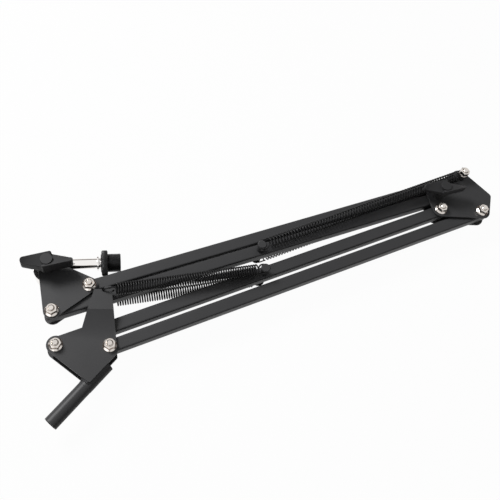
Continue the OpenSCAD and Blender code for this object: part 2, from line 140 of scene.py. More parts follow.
def mount_place(name: str) -> tuple[np.ndarray, np.ndarray]:
    """Place and outward direction of a mount.

    Args:
        name: the mount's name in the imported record.

    Returns:
        The place in millimetres, and the direction.
    """
    mount = next(m for m in frame["record"]["mounts"] if m["name"] == name)
    return np.array(mount["pos_m"], float) / MM, np.array(mount["axis"], float)


def node_middle(name: str) -> np.ndarray:
    """Middle of a CAD node's box, in millimetres.

    Args:
        name: the node's name.

    Returns:
        The three coordinates.
    """
    low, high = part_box(name)
    return (np.array(low) + np.array(high)) / 2 / MM


def node_top(name: str) -> float:
    """Highest Z of a CAD node, in millimetres.

    Args:
        name: the node's name.

    Returns:
        The height over the middle plane.
    """
    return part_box(name)[1].z / MM


class Places:
    """Pivots of the two parallelograms, in millimetres.

    The follower's far pivot is the fourth corner of its parallelogram.
    """

    def __init__(self) -> None:
        """Reads the pivots from the joints."""
        self.base_a = joint_place("lower_arm_swing")
        self.base_b = joint_place("lower_follower_swing")
        self.elbow_a = joint_place("elbow_level")
        self.elbow_b = self.elbow_a + self.base_b - self.base_a
        self.elbow_clamp = joint_place("upper_arm_swing")
        self.anchor = joint_place("upper_follower_swing")
        self.head_a = joint_place("head_level")
        self.head_b = self.head_a + self.anchor - self.elbow_clamp
        self.head_clamp = joint_place("mic_tilt")


# Surfaces as arrays


def closed_faces(rows: int, columns: int) -> list[list[int]]:
    """Quads and flat ends of a closed grid of points, stored row by row.

    Args:
        rows: points along the profile or path.
        columns: points round each row.

    Returns:
        The faces, as lists of indices.
    """
    row, column = np.meshgrid(np.arange(rows - 1), np.arange(columns), indexing="ij")
    here = row * columns + column
    beside = row * columns + (column + 1) % columns
    quads = np.stack([here, beside, beside + columns, here + columns], -1).reshape(-1, 4)
    last = (rows - 1) * columns
    return quads.tolist() + [list(range(columns))[::-1], list(range(last, last + columns))]


def lathe(radii: np.ndarray, heights: np.ndarray) -> Form:
    """Closed solid whose radius is given over height and angle.

    A point is (r cos a, r sin a, z), with a running evenly round each row.

    Args:
        radii: rows by columns.
        heights: rows, or rows by columns where an edge rises and falls.

    Returns:
        Points and faces.
    """
    rows, columns = radii.shape
    angle = np.arange(columns) / columns * TURN
    height = np.broadcast_to(heights if heights.ndim == 2 else heights[:, None], radii.shape)
    points = np.stack([radii * np.cos(angle), radii * np.sin(angle), height], -1).reshape(-1, 3)
    return points, closed_faces(rows, columns)


def sweep(path: np.ndarray, outward: np.ndarray, radius: float, sides: int) -> Form:
    """Round wire along a path.

    A ring's points are p + radius (cos k out + sin k side), where side is the cross product
    of the path's direction and the outward direction.

    Args:
        path: points of the wire's centre.
        outward: a unit direction across the wire at each point.
        radius: radius of the wire.
        sides: points round the wire.

    Returns:
        Points and faces.
    """
    run = np.gradient(path, axis=0)
    side = np.cross(run, outward)
    side /= np.linalg.norm(side, axis=1, keepdims=True)
    angle = np.arange(sides) / sides * TURN
    c, s = np.cos(angle)[None, :, None], np.sin(angle)[None, :, None]
    ring = c * outward[:, None] + s * side[:, None]
    points = (path[:, None] + radius * ring).reshape(-1, 3)
    return points, closed_faces(len(path), sides)


def placed(points: np.ndarray, place: np.ndarray, turn: float = 0.0) -> np.ndarray:
    """Points turned about Z and moved to a place.

    Args:
        points: points about the origin.
        place: the new origin.
        turn: angle in degrees.

    Returns:
        The moved points.
    """
    c, s = math.cos(math.radians(turn)), math.sin(math.radians(turn))
    return points @ np.array([[c, s, 0.0], [-s, c, 0.0], [0.0, 0.0, 1.0]]) + place


def joined(parts: list[Form]) -> Form:
    """Several solids' points and faces as one list.

    Args:
        parts: points and faces of each solid.

    Returns:
        All points and all faces.
    """
    points, faces, first = [], [], 0
    for some_points, some_faces in parts:
        points.append(some_points)
        faces += [[first + i for i in face] for face in some_faces]
        first += len(some_points)
    return np.concatenate(points), faces


# Finishes


def shade(code: str) -> tuple[float, float, float, float]:
    """Linear colour of a six-digit display colour.

    Args:
        code: red, green and blue as hexadecimal digits.

    Returns:
        The colour with an alpha of one.
    """
    values = [int(code[i : i + 2], 16) / 255 for i in (0, 2, 4)]
    linear = [v / 12.92 if v <= 0.04045 else ((v + 0.055) / 1.055) ** 2.4 for v in values]
    return (*linear, 1.0)


class Effect(Enum):
    """Shader node groups, each built once and placed in several materials.

    Each material gives them its own colour, roughness, scale and spread.
    """

    GRAIN = "surface_grain"
    TURNED = "turned_metal"

    def group(self) -> Tree:
        """The group of this effect, built at its first use.

        Returns:
            The node tree.
        """
        made = bpy.data.node_groups.get(self.value)
        return made or (grain_group() if self is Effect.GRAIN else turned_group())


def math_node(tree: Tree, operation: str, *values: object) -> Socket:
    """A Math node in a tree.

    Args:
        tree: the tree that it goes into.
        operation: what the node does.
        values: a number or another node's output for each input, in order.

    Returns:
        Its output.
    """
    node = tree.nodes.new("ShaderNodeMath")
    node.operation = operation
    for target, value in zip(node.inputs, values):
        if isinstance(value, Socket):
            tree.links.new(value, target)
        else:
            target.default_value = value
    return node.outputs[0]


def effect_tree(effect: Effect) -> Tree:
    """A group that has the sockets of every effect and no nodes yet.

    Args:
        effect: the effect that it is for.

    Returns:
        The group.
    """
    tree = bpy.data.node_groups.new(effect.value, "ShaderNodeTree")
    both = [("Colour", "Color"), ("Roughness", "Float")]
    given = [*both, ("Per metre", "Float"), ("Spread", "Float")]
    for way, sockets in (("INPUT", given), ("OUTPUT", [*both, ("Height", "Float")])):
        for name, kind in sockets:
            tree.interface.new_socket(name=name, in_out=way, socket_type=f"NodeSocket{kind}")
    return tree


def swing_about_one(tree: Tree, noise: Socket, spread: Socket) -> Socket:
    """A factor that follows a noise, by the spread to either side of one.

    Args:
        tree: the group.
        noise: the noise, which seldom leaves the middle half of its range.
        spread: the group's spread.

    Returns:
        The factor.
    """
    swing = tree.nodes.new("ShaderNodeMapRange")
    swing.inputs["From Min"].default_value = 0.25
    swing.inputs["From Max"].default_value = 0.75
    tree.links.new(noise, swing.inputs["Value"])
    tree.links.new(math_node(tree, "SUBTRACT", 1.0, spread), swing.inputs["To Min"])
    tree.links.new(math_node(tree, "ADD", 1.0, spread), swing.inputs["To Max"])
    return swing.outputs["Result"]


def grain_group() -> Tree:
    """Fine texture of a coated or moulded surface, on Object coordinates.

    A fine noise gives the height of the skin. Half of it and half of a slow noise spread the
    colour and the roughness a little about their given values.

    Returns:
        The group.
    """
    tree = effect_tree(Effect.GRAIN)
    nodes, links = tree.nodes, tree.links
    given, result = nodes.new("NodeGroupInput"), nodes.new("NodeGroupOutput")
    place, tint = nodes.new("ShaderNodeTexCoord"), nodes.new("ShaderNodeVectorMath")
    fine, slow = nodes.new("ShaderNodeTexNoise"), nodes.new("ShaderNodeTexNoise")
    fine.inputs["Detail"].default_value = 3.0
    slow.inputs["Scale"].default_value = 70.0
    slow.inputs["Detail"].default_value = 2.0
    tint.operation = "SCALE"
    for noise in (fine, slow):
        links.new(place.outputs["Object"], noise.inputs["Vector"])
    links.new(given.outputs["Per metre"], fine.inputs["Scale"])
    half = math_node(tree, "MULTIPLY", slow.outputs["Fac"], 0.5)
    both = math_node(tree, "MULTIPLY_ADD", fine.outputs["Fac"], 0.5, half)
    swing = swing_about_one(tree, both, given.outputs["Spread"])
    links.new(given.outputs["Colour"], tint.inputs[0])
    links.new(swing, tint.inputs["Scale"])
    links.new(tint.outputs["Vector"], result.inputs["Colour"])
    rough = math_node(tree, "MULTIPLY", given.outputs["Roughness"], swing)
    links.new(rough, result.inputs["Roughness"])
    links.new(fine.outputs["Fac"], result.inputs["Height"])
    return tree


def turned_group() -> Tree:
    """Drawn and turned metal: faint streaks, long in Z, on Object coordinates.

    Returns:
        The group.
    """
    tree = effect_tree(Effect.TURNED)
    nodes, links = tree.nodes, tree.links
    given, result = nodes.new("NodeGroupInput"), nodes.new("NodeGroupOutput")
    place, shape = nodes.new("ShaderNodeTexCoord"), nodes.new("ShaderNodeMapping")
    shape.inputs["Scale"].default_value = (1.0, 1.0, 0.12)
    noise = nodes.new("ShaderNodeTexNoise")
    noise.inputs["Detail"].default_value = 2.0
    links.new(place.outputs["Object"], shape.inputs["Vector"])
    links.new(shape.outputs["Vector"], noise.inputs["Vector"])
    links.new(given.outputs["Per metre"], noise.inputs["Scale"])
    swing = swing_about_one(tree, noise.outputs["Fac"], given.outputs["Spread"])
    links.new(given.outputs["Colour"], result.inputs["Colour"])
    rough = math_node(tree, "MULTIPLY", given.outputs["Roughness"], swing)
    links.new(rough, result.inputs["Roughness"])
    links.new(noise.outputs["Fac"], result.inputs["Height"])
    return tree


@dataclass(frozen=True)
class Finish:
    """One material: its colour, its gloss, and the effect that breaks up its surface.

    The turned effect belongs to bare metal and the grain to everything else.
    """

    name: str
    colour: str
    roughness: float
    effect: Effect
    per_metre: float
    spread: float
    bump: float
    bump_mm: float
    specular: float = 0.5

    def material(self) -> bpy.types.Material:
        """The Blender material of this finish, built at its first use.

        Returns:
            The material.
        """
        made = bpy.data.materials.get(self.name)
        if made:
            return made
        made = bpy.data.materials.new(self.name)
        made.use_nodes = True
        made.diffuse_color = shade(self.colour)
        nodes, links = made.node_tree.nodes, made.node_tree.links
        surface = nodes["Principled BSDF"]
        surface.inputs["Metallic"].default_value = float(self.effect is Effect.TURNED)
        surface.inputs["Specular IOR Level"].default_value = self.specular
        effect = nodes.new("ShaderNodeGroup")
        effect.node_tree = self.effect.group()
        effect.inputs["Colour"].default_value = shade(self.colour)
        effect.inputs["Roughness"].default_value = self.roughness
        effect.inputs["Per metre"].default_value = self.per_metre
        effect.inputs["Spread"].default_value = self.spread
        bump = nodes.new("ShaderNodeBump")
        bump.inputs["Strength"].default_value = self.bump
        bump.inputs["Distance"].default_value = self.bump_mm * MM
        links.new(effect.outputs["Colour"], surface.inputs["Base Color"])
        links.new(effect.outputs["Roughness"], surface.inputs["Roughness"])
        links.new(effect.outputs["Height"], bump.inputs["Height"])
        links.new(bump.outputs["Normal"], surface.inputs["Normal"])
        return made


POWDER = Finish("powder_coat_black", "323233", 0.45, Effect.GRAIN, 2600.0, 0.08, 0.2, 0.05, specular=0.2)
SPRING_BLACK = Finish(
    "oiled_spring_black", "0E0E0F", 0.4, Effect.GRAIN, 1500.0, 0.2, 0.15, 0.04, specular=0.2
)
ZINC = Finish("bright_zinc", "D2CCC6", 0.16, Effect.TURNED, 900.0, 0.3, 0.1, 0.02)
CHROME = Finish("polished_chrome", "F2EFEC", 0.05, Effect.TURNED, 500.0, 0.25, 0.02, 0.01)
MOULDED = Finish("moulded_black", "2B2B2C", 0.6, Effect.GRAIN, 3200.0, 0.1, 0.3, 0.05, specular=0.2)
THREAD_BLACK = Finish("black_oxide", "101011", 0.42, Effect.GRAIN, 1800.0, 0.15, 0.1, 0.03, specular=0.3)
BRASS = Finish("turned_brass", "C9A961", 0.28, Effect.TURNED, 800.0, 0.2, 0.1, 0.02)


class Slot(Enum):
    """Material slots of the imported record, with the finish that each one gets here."""

    POWDER_COAT = ("powder_coat", POWDER)
    ZINC_STEEL = ("zinc_steel", ZINC)
    CHROME = ("chrome", CHROME)
    SPRING_WIRE = ("spring_wire", SPRING_BLACK)
    BLACK_PLASTIC = ("black_plastic", MOULDED)
    BRASS = ("brass", BRASS)

    def __init__(self, label: str, finish: Finish) -> None:
        """Keeps both halves of a slot.

        Args:
            label: the slot's name in the record.
            finish: its finish.
        """
        self.label = label
        self.finish = finish


# Pieces

DOUBLE_MM = 0.002
FLAT_DEGREES, SHARP_DEGREES, BROKEN_DEGREES = 0.5, 16.0, 35.0


def in_scene(name: str, data: bpy.types.ID) -> bpy.types.Object:
    """A new object in the scene.

    Args:
        name: its name.
        data: its mesh, camera or lamp.

    Returns:
        The object, at the origin.
    """
    made = bpy.data.objects.new(name, data)
    bpy.context.scene.collection.objects.link(made)
    return made


def new_piece(
    name: str,
    form: Form,
    slot: Slot,
    stands_for: tuple[str, ...],
    finish: Finish | None = None,
    crease: float = 40.0,
) -> bpy.types.Object:
    """A mesh piece at the origin, with its place in its points.

    Args:
        name: the piece's name.
        form: points in millimetres, and faces.
        slot: the record's slot that it takes its finish from.
        stands_for: CAD nodes that it replaces.
        finish: another finish than the slot's own.
        crease: angle in degrees above which an edge stays sharp.

    Returns:
        The object, which rides on nothing yet.
    """
    points, faces = form
    mesh = bpy.data.meshes.new(name)
    mesh.from_pydata((points * MM).tolist(), [], faces)
    mesh.materials.append((finish or slot.finish).material())
    mesh.shade_smooth()
    mesh.set_sharp_from_angle(angle=math.radians(crease))
    mesh.update()
    piece = in_scene(name, mesh)
    if stands_for:
        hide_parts(*stands_for)
    log.info("made %s, %d faces", name, len(faces))
    return piece


def broken_edges(node: str, slot: Slot, width: float) -> None:
    """A CAD node's own shape with its sharp edges broken, in place of the node.

    Doubled points go, and faces that lie in one plane become one, so that only real edges
    are broken. The piece rides on the node's body.

    Args:
        node: the CAD node.
        slot: its material slot.
        width: width of the broken edge in millimetres.
    """
    source = frame["nodes"][node]
    mesh = bpy.data.meshes.new(f"{node}_finished")
    shape = bmesh.new()
    shape.from_mesh(source.data)
    bmesh.ops.remove_doubles(shape, verts=shape.verts, dist=DOUBLE_MM * MM)
    flat = math.radians(FLAT_DEGREES)
    bmesh.ops.dissolve_limit(shape, angle_limit=flat, verts=shape.verts, edges=shape.edges)
    shape.to_mesh(mesh)
    shape.free()
    mesh.materials.append(slot.finish.material())
    mesh.shade_smooth()
    mesh.set_sharp_from_angle(angle=math.radians(SHARP_DEGREES))
    piece = in_scene(mesh.name, mesh)
    edge = piece.modifiers.new("broken_edge", "BEVEL")
    edge.width = width * MM
    edge.segments = 2
    edge.limit_method = "ANGLE"
    edge.angle_limit = math.radians(BROKEN_DEGREES)
    edge.use_clamp_overlap = True
    edge.harden_normals = True
    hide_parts(node)
    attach(piece, source["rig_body"])
    log.info("finished %s", node)


def dress_node(node: str, slot: Slot) -> None:
    """Gives a CAD node that stays as it is the finish of its slot.

    Args:
        node: the CAD node.
        slot: its material slot.
    """
    mesh = frame["nodes"][node].data
    mesh.materials.clear()
    mesh.materials.append(slot.finish.material())
    log.info("dressed %s", node)


# Threads and fasteners


@dataclass(frozen=True)
class Thread:
    """A screw thread, by the radius of its crests, its depth and its rise per turn."""

    crest: float
    depth: float
    pitch: float

    def radii(self, heights: np.ndarray, columns: int) -> np.ndarray:
        """Radius of the thread over height and angle.

        The radius falls from the crest by depth times a triangle wave of height over pitch
        minus the share of a turn.

        Args:
            heights: height of each row.
            columns: points round each row.

        Returns:
            Rows by columns of radii.
        """
        share = np.arange(columns) / columns
        phase = (heights[:, None] / self.pitch - share[None, :]) % 1.0
        return self.crest - self.depth * np.abs(2.0 * phase - 1.0)


@dataclass(frozen=True)
class FlangeFastener:
    """Flanged hexagon nut and bolt of a pivot."""

    bolt_r: float = 2.5
    height: float = 5.0
    across_flats: float = 8.0
    flange_r: float = 5.65
    flange_t: float = 1.3
    rim: tuple[float, float] = (0.15, 0.5)
    rim_cut: float = 0.2
    edge: float = 0.1
    fillet: float = 0.25
    chamfer: float = 30.0
    countersink: float = 0.45
    bore_depth: float = 1.0
    dish: tuple[tuple[float, float], ...] = ((3.5, 0.0), (2.2, 0.35), (0.6, 0.45))
    thread: Thread = Thread(2.48, 0.28, 0.8)
    tip: float = 1.2
    threaded: float = 2.4
    tip_r: float = 1.9
    point_r: float = 1.4
    tip_rows: int = 28
    tip_columns: int = 48
    columns: int = 96

    def hexagon(self) -> np.ndarray:
        """Distance of the hexagon's wall from its axis at each angle.

        Returns:
            Half the width across the flats over the cosine of the angle to the nearest flat.
        """
        angle = np.arange(self.columns) / self.columns * TURN
        from_flat = (angle + TURN / 12) % (TURN / 6) - TURN / 12
        return self.across_flats / 2 / np.cos(from_flat)

    def head(self, crown: list[tuple[float, float]]) -> Form:
        """Flange, cone and chamfered hexagon, closed by a crown.

        Args:
            crown: radius and height of each row above the hexagon's chamfer.

        Returns:
            Points and faces, standing on Z = 0.
        """
        wall = self.hexagon()
        top_r = self.across_flats / 2 - self.edge
        drop = (wall - top_r) * math.tan(math.radians(self.chamfer))
        foot = np.minimum(wall + self.fillet, self.flange_r)
        rows = [
            (self.flange_r - self.edge, 0.0),
            (self.flange_r, self.rim[0]),
            (self.flange_r, self.rim[1]),
            (self.flange_r - self.rim_cut, self.rim[1] + self.rim_cut),
            (foot, self.flange_t),
            (wall, self.flange_t + self.fillet),
            (wall, self.height - drop),
            (top_r, self.height),
            *crown,
        ]
        table = [[np.broadcast_to(value, wall.shape) for value in row] for row in rows]
        radii, heights = np.moveaxis(np.array(table), 1, 0)
        return lathe(radii, heights)

    def nut(self, place: np.ndarray, turn: float) -> Form:
        """A nut with its bore's countersink.

        Args:
            place: the middle of its seat.
            turn: angle of its flats in degrees.

        Returns:
            Points and faces.
        """
        cut, top = self.countersink, self.height
        crown = [(self.bolt_r + cut, top), (self.bolt_r, top - cut), (self.bolt_r, top - self.bore_depth)]
        points, faces = self.head(crown)
        return placed(points, place, turn), faces

    def bolt(self, place: np.ndarray, turn: float, seat: float) -> Form:
        """A bolt from its head behind the back plate to its threaded tip.

        Args:
            place: the middle of its axis, in the middle plane.
            turn: angle of its head in degrees.
            seat: distance of each seat from the middle plane.

        Returns:
            Points and faces.
        """
        head, head_faces = self.head([(r, self.height - deep) for r, deep in self.dish])
        head = placed(head * [1, -1, -1], place - [0, 0, seat], turn)
        reach = seat + self.height + self.tip
        rows = np.linspace(reach - self.threaded, reach, self.tip_rows)
        threads = self.thread.radii(rows, self.tip_columns)
        threads = np.minimum(threads, self.tip_r + (reach - rows)[:, None])
        plain = np.full((2, self.tip_columns), self.thread.crest)
        radii = np.concatenate([plain, threads, np.full((1, self.tip_columns), self.point_r)])
        heights = np.concatenate([[-seat, rows[0] - 0.05], rows, [reach]])
        shank, shank_faces = lathe(radii, heights)
        return joined([(head, head_faces), (placed(shank, place, turn), shank_faces)])


ANCHOR_NUT = FlangeFastener(flange_r=4.6)


@dataclass(frozen=True)
class PivotSet:
    """The bolts and nuts of one bracket's pivots."""

    nuts: str
    bolts: str
    body: str
    places: tuple[np.ndarray, ...]
    turns: tuple[float, ...]
    seat: float
    kind: FlangeFastener = FlangeFastener()
    head_turn: float = 17.0

    def build(self) -> None:
        """Makes the nuts as one piece and the bolts as another."""
        up = np.array([0.0, 0.0, self.seat])
        nuts = [self.kind.nut(p + up, t) for p, t in zip(self.places, self.turns)]
        heads = [t + self.head_turn for t in self.turns]
        bolts = [self.kind.bolt(p, t, self.seat) for p, t in zip(self.places, heads)]
        for forms, node in ((nuts, self.nuts), (bolts, self.bolts)):
            piece = new_piece(f"{node}_turned", joined(forms), Slot.ZINC_STEEL, (node,), crease=28.0)
            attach(piece, self.body)


# Springs


@dataclass(frozen=True)
class Spring:
    """Extension spring between two pegs, wound in one wire with a round hook at each end.
    """

    name: str
    start: np.ndarray
    end: np.ndarray
    level: float
    peg_start: float
    peg_end: float
    plane_start: float
    plane_end: float
    coils: int
    bodies: tuple[str, str]
    bend_share: float
    outer_d: float = 10.2
    wire_d: float = 1.2
    hook_gap: float = 0.15
    hook_turn: tuple[float, float] = (40.0, 270.0)
    lead: float = 4.2
    lead_turn: float = 84.0
    bend: float = 1.6
    hook_points: int = 40
    lead_points: int = 10
    per_coil: int = 20
    sides: int = 8

    @property
    def coil_r(self) -> float:
        """Radius of the wire's centre in the coil.

        Returns:
            The radius.
        """
        return (self.outer_d - self.wire_d) / 2

    def hook(self, peg: float) -> tuple[np.ndarray, np.ndarray]:
        """Centre line of one hook and its lead, in the plane Z = 0.

        The hook is a circle about the axis, open towards the coil. The lead runs along the
        coil's cylinder and turns from the axis towards the coil's slope.

        Args:
            peg: radius of the peg that it bears on.

        Returns:
            Points and outward directions.
        """
        r = self.coil_r
        centre = r - self.wire_d / 2 - peg - self.hook_gap
        w = -np.radians(np.linspace(*self.hook_turn, self.hook_points))
        out = np.stack([np.cos(w), np.sin(w), 0 * w], -1)
        ring = r * out + [centre, 0, 0]
        tip = ring[:1] + self.wire_d * np.array([[math.sin(-w[0]), math.cos(w[0]), 0]])
        t = np.radians(np.linspace(0.0, self.lead_turn, self.lead_points))
        f = self.bend * (1 - np.cos(t)) / r
        lead_out = np.stack([0 * f, np.cos(f), np.sin(f)], -1)
        along = centre + self.lead + self.bend * np.sin(t)
        lead = r * lead_out + np.stack([along, 0 * t, 0 * t], -1)
        return np.concatenate([tip, ring, lead]), np.concatenate([out[:1], out, lead_out])

    def line(self) -> tuple[np.ndarray, np.ndarray]:
        """Centre line of the whole wire along +X, from peg to peg.

        Returns:
            Points and outward directions.
        """
        length = float(np.linalg.norm((self.end - self.start)[:2]))
        first, first_out = self.hook(self.peg_start)
        last, last_out = self.hook(self.peg_end)
        a, b = math.radians(self.plane_start), math.radians(self.plane_end)
        f0 = a + math.atan2(first[-1][2], first[-1][1])
        f1 = b - math.atan2(last[-1][2], last[-1][1]) + TURN * self.coils
        steps = int(round((f1 - f0) / TURN * self.per_coil))
        u = np.linspace(0.0, 1.0, steps + 1)[1:-1]
        f = f0 + (f1 - f0) * u
        x = first[-1][0] + (length - last[-1][0] - first[-1][0]) * u
        coil_out = np.stack([0 * f, np.cos(f), np.sin(f)], -1)
        coil = self.coil_r * coil_out + np.stack([x, 0 * x, 0 * x], -1)
        flip = np.array([-1.0, 1.0, -1.0])
        path = [rolled(first, a), coil, rolled(last[::-1] * flip + [length, 0, 0], b)]
        out = [rolled(first_out, a), coil_out, rolled(last_out[::-1] * flip, b)]
        return np.concatenate(path), np.concatenate(out)

    def build(self, side: int) -> None:
        """Makes the front or the back spring between its two pegs.

        Args:
            side: 1 at the front, -1 at the back, where it is turned half round.
        """
        path, out = self.line()
        points, faces = sweep(path, out, self.wire_d / 2, self.sides)
        points = rolled(points, 0.0 if side > 0 else math.pi)
        way = (self.end - self.start)[:2]
        low = np.array([*self.start[:2], side * self.level])
        points = placed(points, low, math.degrees(math.atan2(way[1], way[0])))
        node = f"{self.name}_{'front' if side > 0 else 'back'}"
        piece = new_piece(f"{node}_wound", (points, faces), Slot.SPRING_WIRE, (node,), crease=60.0)
        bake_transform(piece)


def rolled(points: np.ndarray, angle: float) -> np.ndarray:
    """Points turned about the X axis.

    Args:
        points: points or directions.
        angle: angle in radians.

    Returns:
        The turned points.
    """
    c, s = math.cos(angle), math.sin(angle)
    return points @ np.array([[1.0, 0.0, 0.0], [0.0, c, s], [0.0, -s, c]])


# Knobs


@dataclass(frozen=True)
class WingKnob:
    """Moulded wing knob: two wings whose tops fall from a ridge, round a hub with a flat disc.

    Its turn is the direction of its wings in degrees.
    """

    turn: float
    height: float = 18.0
    wing_z: float = 11.0
    fall: float = 3.3
    hub_r: float = 4.9
    foot_r: float = 4.5
    disc_h: float = 0.4
    root_r: float = 6.5
    tip_r: float = 2.4
    tip: tuple[float, float] = (18.0, -4.1)
    ridge_y: float = -6.3
    ridge_back: float = 5.0
    ridge_round: float = 1.5
    round_mm: float = 0.5
    step_mm: float = 0.9
    under_disc: float = 0.6
    rays: int = 3600
    points_round: int = 300
    top_rows: int = 14
    hub_columns: int = 96

    def outline(self) -> np.ndarray:
        """Outline of both wings, evenly spaced round its length.

        A wing is the convex form round the hub's circle, the tip's circle and the ridge's two
        rounded ends. Its support h(n) is the largest extent of these along n, and along a ray
        u it reaches the least h(n) / (n u) of all normals n. The outline is the larger reach of
        the two wings.

        Returns:
            Points in the plane.
        """
        angle = np.linspace(0.0, TURN, self.rays, endpoint=False)
        ray = np.stack([np.cos(angle), np.sin(angle)])
        normal = ray[:, ::2].T
        ends = np.array([[-self.ridge_back, -self.root_r], [self.tip[0], -self.root_r]])
        ends += self.ridge_round * np.array([[1.0, 1.0], [0.0, 1.0]])
        corners = (normal @ ends.T + self.ridge_round).T
        root = np.full(len(normal), self.root_r)
        support = np.max([root, normal @ np.array(self.tip) + self.tip_r, *corners], 0)
        facing = normal @ ray
        distance = support[:, None] / np.maximum(facing, 1e-6)
        reach = np.where(facing > 1e-3, distance, np.inf).min(0)
        reach = np.maximum(reach, np.roll(reach, len(angle) // 2))
        curve = reach[:, None] * ray.T
        step = np.linalg.norm(np.diff(curve, axis=0, append=curve[:1]), axis=1)
        run = np.concatenate([[0.0], np.cumsum(step)])
        even = np.linspace(0.0, run[-1], self.points_round, endpoint=False)
        closed = np.concatenate([curve, curve[:1]])
        return np.stack([np.interp(even, run, closed[:, i]) for i in (0, 1)], -1)

    def top(self, plan: np.ndarray) -> np.ndarray:
        """Height of the wings' top over the plane.

        A wing falls evenly from its ridge to its far edge, a straight line from the root's
        radius to the tip's. One wing passes into the other at the near end of each ridge, over
        the step's width.

        Args:
            plan: points in the plane.

        Returns:
            One height for each point.
        """
        border = self.ridge_back * np.clip(plan[:, 1] / self.hub_r, -1.0, 1.0)
        share = np.clip(0.5 + (plan[:, 0] - border) / self.step_mm, 0.0, 1.0)
        heights = []
        for side in (1.0, -1.0):
            x, y = side * plan[:, 0], side * plan[:, 1]
            far = np.interp(x, [0.0, self.tip[0]], [self.root_r, self.tip[1] + self.tip_r])
            fallen = np.clip((y - self.ridge_y) / (far - self.ridge_y), 0.0, 1.0)
            heights.append(self.height - self.fall * fallen)
        return share * heights[0] + (1.0 - share) * heights[1]

    def wings(self) -> Form:
        """The wings' solid, from the underside round the edge to under the disc.

        The outline is drawn in along its normals round the lower and the upper edge, by
        1 - sin(t) and 1 - cos(t) of the edge's radius. The top's rows run from the drawn-in
        outline to a circle that the disc hides.

        Returns:
            Points and faces.
        """
        edge = self.outline()
        run = np.roll(edge, -1, 0) - np.roll(edge, 1, 0)
        inward = np.stack([-run[:, 1], run[:, 0]], -1) / np.linalg.norm(run, axis=1)[:, None]
        t = np.linspace(0.0, math.pi / 2, 5)
        drawn, risen = self.round_mm * (1 - np.sin(t)), self.round_mm * (1 - np.cos(t))
        rim = edge + self.round_mm * inward
        lower, upper = np.full(len(edge), self.wing_z), self.top(rim)
        rows = [np.column_stack([edge + i * inward, lower + z]) for i, z in zip(drawn, risen)]
        rows += [np.column_stack([edge + i * inward, upper - z]) for i, z in zip(drawn[::-1], risen[::-1])]
        disc = (self.hub_r - self.under_disc) * edge / np.linalg.norm(edge, axis=1)[:, None]
        for share in np.linspace(0.0, 1.0, self.top_rows)[1:]:
            plan = rim + share * (disc - rim)
            rows.append(np.column_stack([plan, self.top(plan)]))
        return np.concatenate(rows), closed_faces(len(rows), len(edge))

    def build(self, node: str, place: np.ndarray, body: str) -> None:
        """Makes one knob.

        Args:
            node: the CAD node that it stands for.
            place: the middle of its seat.
            body: the body that it rides on.
        """
        crown = self.height + self.disc_h
        hub = [
            (self.foot_r - 0.3, 0.0),
            (self.foot_r, 0.3),
            (self.hub_r, 0.14 * self.wing_z),
            (self.hub_r, 0.5 * self.wing_z),
            (self.hub_r + 0.5, 0.75 * self.wing_z),
            (self.root_r - 0.1, self.wing_z - 0.4),
            (self.root_r - 0.1, self.wing_z + 0.4),
            (self.hub_r, self.wing_z + 1.0),
            (self.hub_r, crown - 0.2),
            (self.hub_r - 0.2, crown),
        ]
        radii, heights = np.array(hub).T
        turned = lathe(np.repeat(radii[:, None], self.hub_columns, 1), heights)
        points, faces = joined([self.wings(), turned])
        form = placed(points, place, self.turn), faces
        piece = new_piece(f"{node}_moulded", form, Slot.BLACK_PLASTIC, (node,), crease=32.0)
        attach(piece, body)


# Sub-assemblies


@dataclass(frozen=True)
class Bracket:
    """A pair of side plates with the two pivots that pass through them."""

    body: str
    places: tuple[np.ndarray, np.ndarray]
    turns: tuple[float, float]
    seat: float
    more: tuple[str, ...] = ()
    edge_mm: float = 0.25

    def build(self) -> None:
        """Finishes the plates and makes the fasteners."""
        for node in (f"{self.body}_plate_front", f"{self.body}_plate_back", *self.more):
            broken_edges(node, Slot.POWDER_COAT, self.edge_mm)
        dress_node(f"{self.body}_washers", Slot.ZINC_STEEL)
        nuts, bolts = f"{self.body}_pivot_nuts", f"{self.body}_pivot_bolts"
        PivotSet(nuts, bolts, self.body, self.places, self.turns, self.seat).build()


@dataclass(frozen=True)
class Weld:
    """Bead that joins a base plate to the post, where the plate's edge crosses it."""

    name: str
    side: int
    edge_at: float = 39.0
    post_r: float = 6.0
    span: tuple[float, float] = (-0.25, 0.97)
    radius: float = 1.1
    end_share: float = 0.02
    ripple: float = 0.12
    ripple_mm: float = 1.3
    rows: int = 90
    sides: int = 12

    def build(self) -> None:
        """Makes the bead, with the plate's edge measured from the post's free end.

        The bead's centre follows the post's round surface: at a distance w from the post's
        middle line it lies at the height sqrt(r^2 - w^2). Its radius swells by the sine of the
        way, as the ripples of a weld do, and shrinks at both ends.
        """
        post_end, post_way = mount_place("post")
        across = self.post_r * np.array([post_way[1], -post_way[0], 0.0])
        offset = np.linspace(*self.span, self.rows)[:, None] * across
        height = self.side * np.sqrt(self.post_r**2 - (offset**2).sum(1))
        outward = offset + height[:, None] * np.array([0.0, 0.0, 1.0])
        path = post_end - self.edge_at * post_way + outward
        way = np.concatenate([[0.0], np.cumsum(np.linalg.norm(np.diff(path, axis=0), axis=1))])
        from_end = np.minimum(way, way[-1] - way) / self.radius
        swell = np.sqrt(np.clip(from_end, self.end_share, 1.0))
        swell *= 1.0 + self.ripple * np.sin(TURN * way / self.ripple_mm)
        points, faces = sweep(path, outward / self.post_r, self.radius, self.sides)
        rings = points.reshape(self.rows, self.sides, 3)
        points = (path[:, None] + swell[:, None, None] * (rings - path[:, None])).reshape(-1, 3)
        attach(new_piece(self.name, (points, faces), Slot.POWDER_COAT, ()), "base")


